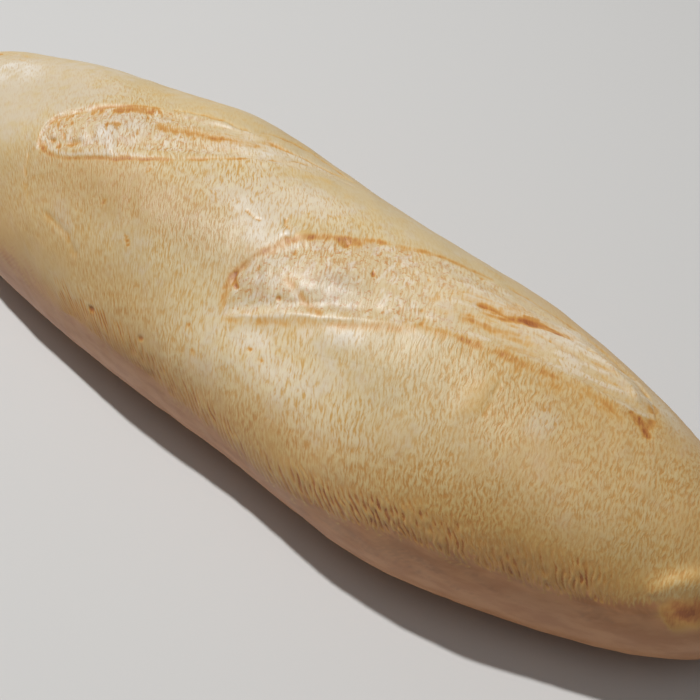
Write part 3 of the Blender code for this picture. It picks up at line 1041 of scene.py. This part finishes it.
@dataclass(frozen=True)
class BakedSkin:
    """Baked white-bread crust: a thin dry skin, wrinkled as it cooled, that gives a soft sheen.

    Cream ridges and ochre dashes of short wrinkles, over slow changes from butter yellow to a paler
    cream, baked to ochre low on the flanks and browned where it tore. The crumb in the slashes is the
    same skin, whiter and a little pinkish.
    """

    skin: str = "D0B98C"
    butter: str = "D2B174"
    cream: str = "D3C3A8"
    ridge: str = "D9C8A2"
    dash: str = "C79C59"
    baked: str = "CDA260"
    baked_dash: str = "C1884A"
    baked_ridge: str = "D5B678"
    browned: str = "C69455"
    crumb: str = "D4BD91"
    crumb_ridge: str = "DFD0B0"
    crumb_dash: str = "C4935B"
    freckle: str = "C48848"
    pinkish: str = "C29E80"
    # White of the crumb that dried proud, also used for painted highlights and sheen
    white_and_sheen: str = "E9E1D4"
    belly: str = "C88F60"
    belly_dark: str = "BA7E4E"
    toasting: tuple[tuple[float, str], ...] = (
        (0.0, "D8B068"), (0.36, "C8934F"), (0.64, "B6773F"), (1.0, "9A5B31"))
    ior: float = 1.45
    roughness: float = 0.44
    roughness_change: float = 0.20
    wrinkle_pitch: float = 0.38 * MM
    wrinkle_length: float = 1.80 * MM
    wrinkle_height: float = 0.047 * MM
    wander_size: float = 3.5 * MM
    wander_reach: float = 0.8 * MM
    slow_size: float = 8 * MM
    mottle_size: float = 2.6 * MM
    freckle_size: float = 0.75 * MM
    dry_grain_size: float = 0.40 * MM
    noise_roughness: float = 0.55

    def material(self) -> bpy.types.Material:
        """Builds the skin's material from the wrinkles' own coordinates and the painted-in amounts.

        Returns:
            The material.
        """
        material = bpy.data.materials.new("baked_bread_skin")
        material.use_nodes = True
        material.node_tree.nodes.clear()
        add = partial(add_node, material.node_tree)
        place = add("TexCoord", output="Object")
        grain = add("UVMap", uv_map="grain")
        toast, pale, tone, bake, belly, crumb, wrinkle, light = (
            add("Attribute", output="Fac", attribute_name=key)
            for key in ("toast", "pale", "tone", "bake", "belly", "crumb", "wrinkle", "light"))

        def coats(base: Any, *layers: tuple[Any, Any]) -> bpy.types.NodeSocket:
            """Coats of colour laid over a base one in turn.

            Args:
                base: The lowest colour, as hex or a node's output.
                *layers: Each coat's share, from 0 to 1, and its colour.

            Returns:
                The colour that shows.
            """
            for share, over in layers:
                base = add("Mix", {0: share, 6: base, 7: over}, output=2, data_type="RGBA")
            return base

        # The wrinkles wander a little, and are counted in cells across and along them
        wander = add("TexNoise", {"Vector": grain, "Scale": 1 / self.wander_size, "Detail": 1.0},
                     output="Color", noise_dimensions="2D")
        wander = add("VectorMath", wander, (0.5, 0.5, 0.5), operation="SUBTRACT")
        grain = add("VectorMath", wander, (self.wander_reach, self.wander_reach, 0.0), grain, **TIMES_PLUS)
        pitch, length = self.wrinkle_pitch, self.wrinkle_length
        fine = add("VectorMath", grain, (1.0 / pitch, 1.0 / length, 1.0), **TIMES)
        coarse = add("VectorMath", grain, (1.0 / (2.1 * pitch), 1.0 / (1.6 * length), 1.0), **TIMES)
        level = add("VectorMath", place, (1.0, 1.0, 2.2), **TIMES)
        fine, coarse, slow, mottle, freckle, low, dry = (
            add("TexNoise", {"Vector": vector, "Scale": 1.0 / size, "Detail": detail,
                             "Roughness": self.noise_roughness}, noise_dimensions=dimensions)
            for vector, size, detail, dimensions in (
                (fine, 1.0, 2.0, "2D"),
                (coarse, 1.0, 1.0, "2D"),
                (place, self.slow_size, 3.0, "3D"),
                (place, self.mottle_size, 2.0, "3D"),
                (place, self.freckle_size, 2.0, "3D"),
                (level, self.slow_size, 3.0, "3D"),
                (place, self.dry_grain_size, 2.0, "3D"),
            ))

        # Short wrinkles, ridges catching the light and dashes of ochre in the hollows between them
        fold = add("Math", coarse, 0.22, add("Math", fine, 0.78, **TIMES), **TIMES_PLUS)
        strength = add("Math", wrinkle, add("MapRange", slow, 0.30, 0.55, **SOFT), **TIMES)
        strength = add("Math", strength, 0.6, add("Math", wrinkle, 0.4, **TIMES), **TIMES_PLUS)
        hollow = add("Math", add("MapRange", fold, 0.54, 0.33, **SOFT), strength, **TIMES)
        top = add("Math", add("MapRange", fold, 0.46, 0.67, **SOFT), strength, **TIMES)
        lit = coats(self.ridge, (bake, self.baked_ridge), (crumb, self.crumb_ridge))
        dark = coats(self.dash, (bake, self.baked_dash), (crumb, self.crumb_dash))

        # Slow changes of tone, freckles and pinkish mottles in the crumb, and white on the wrinkles' ridges
        # where the skin is pale, partly crumb that dried proud and partly a painted highlight or sheen
        tone = add("Math", add("Math", slow, 1.3, -0.65, **TIMES_PLUS), tone, **PLUS)
        tone = add("Math", add("Math", mottle, 1.6, -0.80, **TIMES_PLUS), tone, **PLUS)
        freckled = add("Math", add("MapRange", freckle, 0.55, 0.68, **SOFT), crumb, **TIMES)
        pink = add("Math", add("MapRange", mottle, 0.50, 0.30, **SOFT),
                   add("Math", crumb, 0.40, **TIMES), **TIMES)
        white_and_sheen = add("Math", pale, add("MapRange", fold, 0.30, 0.52, **SOFT), **TIMES)

        # Toasting: ochre, then orange brown, then red brown, strongest in the wrinkles' hollows
        broken = add("Math", wrinkle, 1.3, 0.7, **TIMES_PLUS)
        broken = add("Math", add("Math", 0.5, fold, operation="SUBTRACT"), broken, 0.95, **TIMES_PLUS)
        toast = add("Math", toast, add("Math", mottle, 1.6, 0.2, **TIMES_PLUS), **TIMES)
        toast = add("Math", toast, broken, **TIMES)
        toasted = add("ValToRGB", toast)
        stops = toasted.node.color_ramp.elements
        for number, (share, code) in enumerate(self.toasting):
            stop = stops[number] if number < len(stops) else stops.new(share)
            stop.position = share
            stop.color = linear_colour(code)

        # The coats from the plain skin up: baked flanks, crumb, wrinkles, smooth lower skin, toasting
        colour = coats(
            self.skin,
            (add("MapRange", tone, 0.0, 0.8, **SOFT), self.butter),
            (add("MapRange", tone, 0.05, -0.75, **SOFT), self.cream),
            (bake, self.baked),
            (add("MapRange", bake, 0.9, 1.5, **SOFT), self.browned),
            (crumb, self.crumb),
            (add("Math", top, 0.80, **TIMES), lit),
            (add("Math", hollow, 0.90, **TIMES), dark),
            (freckled, self.freckle),
            (pink, self.pinkish),
            (white_and_sheen, self.white_and_sheen),
            (belly, coats(self.belly, (add("MapRange", low, 0.62, 0.34, **SOFT), self.belly_dark))),
            (add("MapRange", toast, 0.0, 0.38, **SOFT), toasted),
        )
        # Painted light and shade: the colour is scaled up or down by the light amount
        colour = add("VectorMath", {0: colour, "Scale": add("Math", light, 1.0, **PLUS)}, operation="SCALE")

        # Relief: wrinkles, hollows and a faint grain of the dry skin
        height = add("Math", dry, 0.14, add("Math", fold, wrinkle, **TIMES), **TIMES_PLUS)
        height = add("Math", hollow, -0.35, height, **TIMES_PLUS)
        bump = add("Bump", {"Height": height, "Distance": self.wrinkle_height})
        gloss = add("Math", slow, self.roughness_change, self.roughness - self.roughness_change / 2,
                    **TIMES_PLUS)
        gloss = add("Math", pale, -0.05, gloss, **TIMES_PLUS)
        shader = add("BsdfPrincipled", {"Base Color": colour, "Roughness": gloss, "IOR": self.ior,
                                        "Normal": bump})
        add("OutputMaterial", {"Surface": shader})
        return material


@dataclass
class FinePatch:
    """A stretch of skin on a fine grid, laid flush over the coarser crust, which sinks under it."""

    name: str
    skin: Skin
    material: bpy.types.Material
    lift: float = 0.015 * MM
    border: float = 0.35 * MM
    border_dip: float = 0.03 * MM

    def grid(self) -> tuple[np.ndarray, np.ndarray]:
        """Places of the patch's points, as x and around."""
        raise NotImplementedError

    def depth_inside(self, x: np.ndarray, around: np.ndarray) -> np.ndarray:
        """Metres inside the patch's border, negative outside."""
        raise NotImplementedError

    def build(self) -> bpy.types.Object:
        """Builds the patch on its grid, its border dipping just under the crust, and dresses it.

        Returns:
            The piece.
        """
        x, around = self.grid()
        s = x / (self.skin.form.length / 2)
        turn = around / self.skin.form.half_width(x)
        height, amounts = self.skin.detail(x, around, turn)
        dip = self.border_dip * (1.0 - smooth_step(self.depth_inside(x, around) / self.border))
        points = self.skin.form.place(s, turn, height + self.lift - dip).reshape(-1, 3)
        rows, count = x.shape
        row, step = np.meshgrid(np.arange(rows - 1), np.arange(count - 1), indexing="ij")
        first = row * count + step
        faces = np.stack([first, first + count, first + count + 1, first + 1], axis=-1).reshape(-1, 4)
        pattern = np.stack(self.skin.grain(x, around), axis=-1)
        corners = [pattern[:-1, :-1], pattern[1:, :-1], pattern[1:, 1:], pattern[:-1, 1:]]
        uv = np.stack(corners, axis=2).reshape(-1, 2)
        return mesh_piece(self.name, points, faces.tolist(), amounts, uv, self.material)


@dataclass
class SlashPatch(FinePatch):
    """The fine skin over one slash and its edges: a rectangle in the slash's own frame."""

    slash: Slash = field(kw_only=True)
    pitch: float = 0.24 * MM
    margin: float = 3.6 * MM
    far_margin_share: float = 0.6

    def limits(self) -> tuple[float, float, float, float]:
        """The rectangle's sides, a margin outside the slash.

        Returns:
            The lowest and highest places along the slash, then across it, in metres.
        """
        low = min(0.0, self.slash.bow) - self.margin
        high = self.slash.width + max(0.0, self.slash.bow) + self.far_margin_share * self.margin
        return -self.margin, self.slash.span() + self.margin, low, high

    def grid(self) -> tuple[np.ndarray, np.ndarray]:
        """Evenly spaced places along and across the slash.

        Returns:
            Places of the points, as x and around.
        """
        start, end, low, high = self.limits()
        along = np.linspace(start, end, int((end - start) / self.pitch))
        q = np.linspace(low, high, int((high - low) / self.pitch))
        along, q = np.meshgrid(along, q, indexing="ij")
        return self.slash.crust_frame(along / self.slash.span(), q)

    def depth_inside(self, x: np.ndarray, around: np.ndarray) -> np.ndarray:
        """The distance to the nearest side of the rectangle.

        Args:
            x: Places along the loaf.
            around: Places around the crust.

        Returns:
            Metres inside it, negative outside.
        """
        start, end, low, high = self.limits()
        t, q = self.slash.own_frame(x, around)
        along = t * self.slash.span()
        return np.minimum(np.minimum(along - start, end - along), np.minimum(q - low, high - q))


@dataclass
class FringePatch(FinePatch):
    """The fine skin along the fringe of ridges above the smooth lower skin of the near flank."""

    start: float = -34 * MM
    end: float = 110 * MM
    below: float = 3.0 * MM
    above: float = 12.5 * MM
    pitch: float = 0.21 * MM
    lean: float = 0.68

    def edge(self, x: np.ndarray) -> np.ndarray:
        """Where the smooth lower skin begins on the near flank, as a place around the crust."""
        return -self.skin.belly_edge(x) * self.skin.form.half_width(x)

    def grid(self) -> tuple[np.ndarray, np.ndarray]:
        """Evenly spaced places along the loaf, in columns that lean as the fringe's ridges do.

        Returns:
            Places of the points, as x and around.
        """
        x = np.linspace(self.start, self.end, int((self.end - self.start) / self.pitch))
        offset = np.linspace(-self.below, self.above, int((self.above + self.below) / self.pitch))
        x, offset = np.meshgrid(x, offset, indexing="ij")
        x = x - self.lean * offset
        return x, self.edge(x) + offset

    def depth_inside(self, x: np.ndarray, around: np.ndarray) -> np.ndarray:
        """The distance to the nearest side of the strip.

        Args:
            x: Places along the loaf.
            around: Places around the crust.

        Returns:
            Metres inside it, negative outside.
        """
        offset = around - self.edge(np.clip(x, self.start, self.end))
        sides = np.minimum(offset + self.below, self.above - offset)
        column = x + self.lean * offset
        return np.minimum(sides, np.minimum(column - self.start, self.end - column))


@dataclass
class Crust:
    """The whole crust, one closed skin from tip to tip, sunk out of the way under the fine patches."""

    skin: Skin
    patches: list[FinePatch]
    material: bpy.types.Material
    stations: int = 430
    points_around: int = 226
    tip_crowding: float = 0.10
    side_density: float = 0.30
    fine_turn: float = 2.15
    fine_middle: float = -0.18
    fine_fade: float = 0.5
    clearance: float = 0.9 * MM

    def grid(self) -> tuple[np.ndarray, np.ndarray]:
        """Stations closer at the tips, and angles closer over the top and near flank.

        The density is 1 + a / sqrt(1 - s^2) along the loaf, with a hair added to keep the root above
        zero at the tips, and a flat-topped soft ramp around it.

        Returns:
            Stations from -1 to 1, and angles from the ridge.
        """
        s = even_steps(self.stations + 2, -1.0, 1.0,
                       lambda v: 1.0 + self.tip_crowding / np.sqrt(1.0005 - v * v))[1:-1]
        turn = even_steps(self.points_around + 1, -math.pi, math.pi,
                          lambda v: self.side_density + smooth_step(
                              (self.fine_turn - np.abs(v - self.fine_middle)) / self.fine_fade))[:-1]
        return np.meshgrid(s, turn, indexing="ij")

    def faces(self, rings: int, count: int) -> list:
        """Corner numbers of the quads between rings and of the fans that close both tips.

        Args:
            rings: How many rings of points the crust has.
            count: How many points each ring has.

        Returns:
            The faces, quads first, then the left fan and the right fan.
        """
        ring, step = np.meshgrid(np.arange(rings - 1), np.arange(count), indexing="ij")
        following = (step + 1) % count
        quads = np.stack([ring * count + step, (ring + 1) * count + step,
                          (ring + 1) * count + following, ring * count + following], axis=-1).reshape(-1, 4)
        step = np.arange(count)
        following = (step + 1) % count
        last = (rings - 1) * count
        left_fan = np.stack([np.full(count, rings * count), step, following], axis=-1)
        right_fan = np.stack([np.full(count, rings * count + 1), last + following, last + step], axis=-1)
        return [*quads.tolist(), *left_fan.tolist(), *right_fan.tolist()]

    def pattern(self, s: np.ndarray, turn: np.ndarray) -> np.ndarray:
        """The wrinkles' coordinates at every face corner, run on past the seam under the loaf.

        Args:
            s: Stations of the grid.
            turn: Angles of the grid.

        Returns:
            One row for each face corner, in the order of the faces.
        """
        turn = np.concatenate([turn, turn[:, :1] + TAU], axis=1)
        s = np.concatenate([s, s[:, :1]], axis=1)
        across, along = self.skin.grain(s * self.skin.form.length / 2, self.skin.form.half_sizes(s)[0] * turn)
        skin = np.stack([across, along], axis=-1)
        quads = np.stack([skin[:-1, :-1], skin[1:, :-1], skin[1:, 1:], skin[:-1, 1:]], axis=2)
        left = np.stack([skin[0, :-1], skin[0, :-1], skin[0, 1:]], axis=1)
        right = np.stack([skin[-1, :-1], skin[-1, 1:], skin[-1, :-1]], axis=1)
        return np.concatenate([quads.reshape(-1, 2), left.reshape(-1, 2), right.reshape(-1, 2)])

    def build(self) -> bpy.types.Object:
        """Builds the crust as rings of points from tip to tip, and dresses it.

        Returns:
            The piece.
        """
        s, turn = self.grid()
        x = s * self.skin.form.length / 2
        around = self.skin.form.half_sizes(s)[0] * turn
        height, amounts = self.skin.detail(x, around, turn)
        under = np.max([patch.depth_inside(x, around) for patch in self.patches], axis=0)
        height = height - self.clearance * ramp_up(under, 0.8, 1.4)
        points = self.skin.form.place(s, turn, height).reshape(-1, 3)
        points = np.vstack([points, *self.skin.form.tips()])
        attributes = {key: np.append(value.ravel(), [value[0, 0], value[-1, 0]])
                      for key, value in amounts.items()}
        return mesh_piece("loaf_crust", points, self.faces(*s.shape), attributes, self.pattern(s, turn),
                          self.material)


def stand(name: str, data: bpy.types.ID, target: Vector, away: Vector,
          distance: float) -> bpy.types.Object:
    """Stands a lamp or a camera at a distance from its target, facing it.

    Args:
        name: The object's name.
        data: The lamp's or the camera's own data.
        target: The point that it faces.
        away: The unit step from that point towards it.
        distance: How far it stands from that point.

    Returns:
        The object, linked into the scene.
    """
    thing = bpy.data.objects.new(name, data)
    thing.location = target + away * distance
    thing.rotation_euler = (-away).to_track_quat("-Z", "Y").to_euler()
    bpy.context.scene.collection.objects.link(thing)
    return thing


@dataclass(frozen=True)
class Lamp:
    """A round light that faces the loaf, by its compass angle from +X, its height and its size."""

    name: str
    azimuth: float
    elevation: float
    distance: float
    size: float
    power: float

    def hang(self, target: Vector) -> None:
        """Hangs the lamp at its distance from the target, facing it.

        Args:
            target: The point that the lamp faces.
        """
        flat = math.cos(self.elevation)
        away = Vector((math.cos(self.azimuth) * flat, math.sin(self.azimuth) * flat,
                       math.sin(self.elevation)))
        data = bpy.data.lights.new(self.name, "AREA")
        data.shape = "DISK"
        data.size = self.size
        data.energy = self.power
        stand(self.name, data, target, away, self.distance)


@dataclass(frozen=True)
class Studio:
    """A plain pale floor, a small key light, a wide soft light, an even fill, and the camera."""

    azimuth: float = math.radians(36.8)
    elevation: float = math.radians(50.4)
    distance: float = 201.2 * MM
    view_angle: float = math.radians(40)
    target: tuple[float, float, float] = (29.7 * MM, -1.0 * MM, 25 * MM)
    lamps: tuple[Lamp, ...] = (
        Lamp("key_light", math.radians(178), math.radians(69), 1.2, 0.045, 12.0),
        Lamp("soft_light", math.radians(300), math.radians(80), 1.5, 0.9, 2.4),
    )
    fill: float = 0.10
    near_clip: float = 10 * MM
    floor_size: float = 6.0
    floor_colour: str = "CECDCB"
    floor_roughness: float = 0.75

    def add_camera(self) -> None:
        """Stands the camera at its azimuth, elevation and distance from its target."""
        flat = math.cos(self.elevation)
        away = Vector((math.sin(self.azimuth) * flat, -math.cos(self.azimuth) * flat,
                       math.sin(self.elevation)))
        data = bpy.data.cameras.new("camera")
        data.angle = self.view_angle
        data.clip_start = self.near_clip
        bpy.context.scene.camera = stand("camera", data, Vector(self.target), away, self.distance)

    def add_light(self) -> None:
        """Hangs the lamps and sets the even fill."""
        for lamp in self.lamps:
            lamp.hang(Vector(self.target))
        world = bpy.data.worlds.new("fill")
        world.use_nodes = True
        background = world.node_tree.nodes["Background"]
        background.inputs["Color"].default_value = (1.0, 1.0, 1.0, 1.0)
        background.inputs["Strength"].default_value = self.fill
        bpy.context.scene.world = world

    def add_floor(self) -> bpy.types.Object:
        """Lays a plain pale matt floor, level with the loaf's underside.

        Returns:
            The floor.
        """
        half = self.floor_size / 2
        corners = np.array([(-half, -half, 0.0), (half, -half, 0.0), (half, half, 0.0), (-half, half, 0.0)])
        material = bpy.data.materials.new("pale_floor")
        material.use_nodes = True
        shader = material.node_tree.nodes["Principled BSDF"]
        shader.inputs["Base Color"].default_value = linear_colour(self.floor_colour)
        shader.inputs["Roughness"].default_value = self.floor_roughness
        return mesh_piece("floor", corners, [(0, 1, 2, 3)], {}, None, material)


def main() -> None:
    """Builds the crust, the crumb of each slash and the studio, and reports each piece."""
    logging.basicConfig(level=logging.INFO, format="%(name)s: %(message)s")
    studio = Studio()
    studio.add_camera()
    studio.add_light()
    studio.add_floor()
    bpy.context.scene.view_settings.view_transform = "Standard"

    form = LoafForm()
    skin = Skin(form)
    material = BakedSkin().material()
    patches = [SlashPatch(f"crumb_{slash.name}", skin, material, slash=slash) for slash in form.slashes]
    patches.append(FringePatch("near_fringe", skin, material))
    crust = Crust(skin, patches, material)
    for part in (crust, *patches):
        piece = part.build()
        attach(piece, "root")
        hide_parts("loaf")
        LOG.info("%s: %d points, %d faces", piece.name, len(piece.data.vertices), len(piece.data.polygons))


if __name__ == "__main__":
    main()
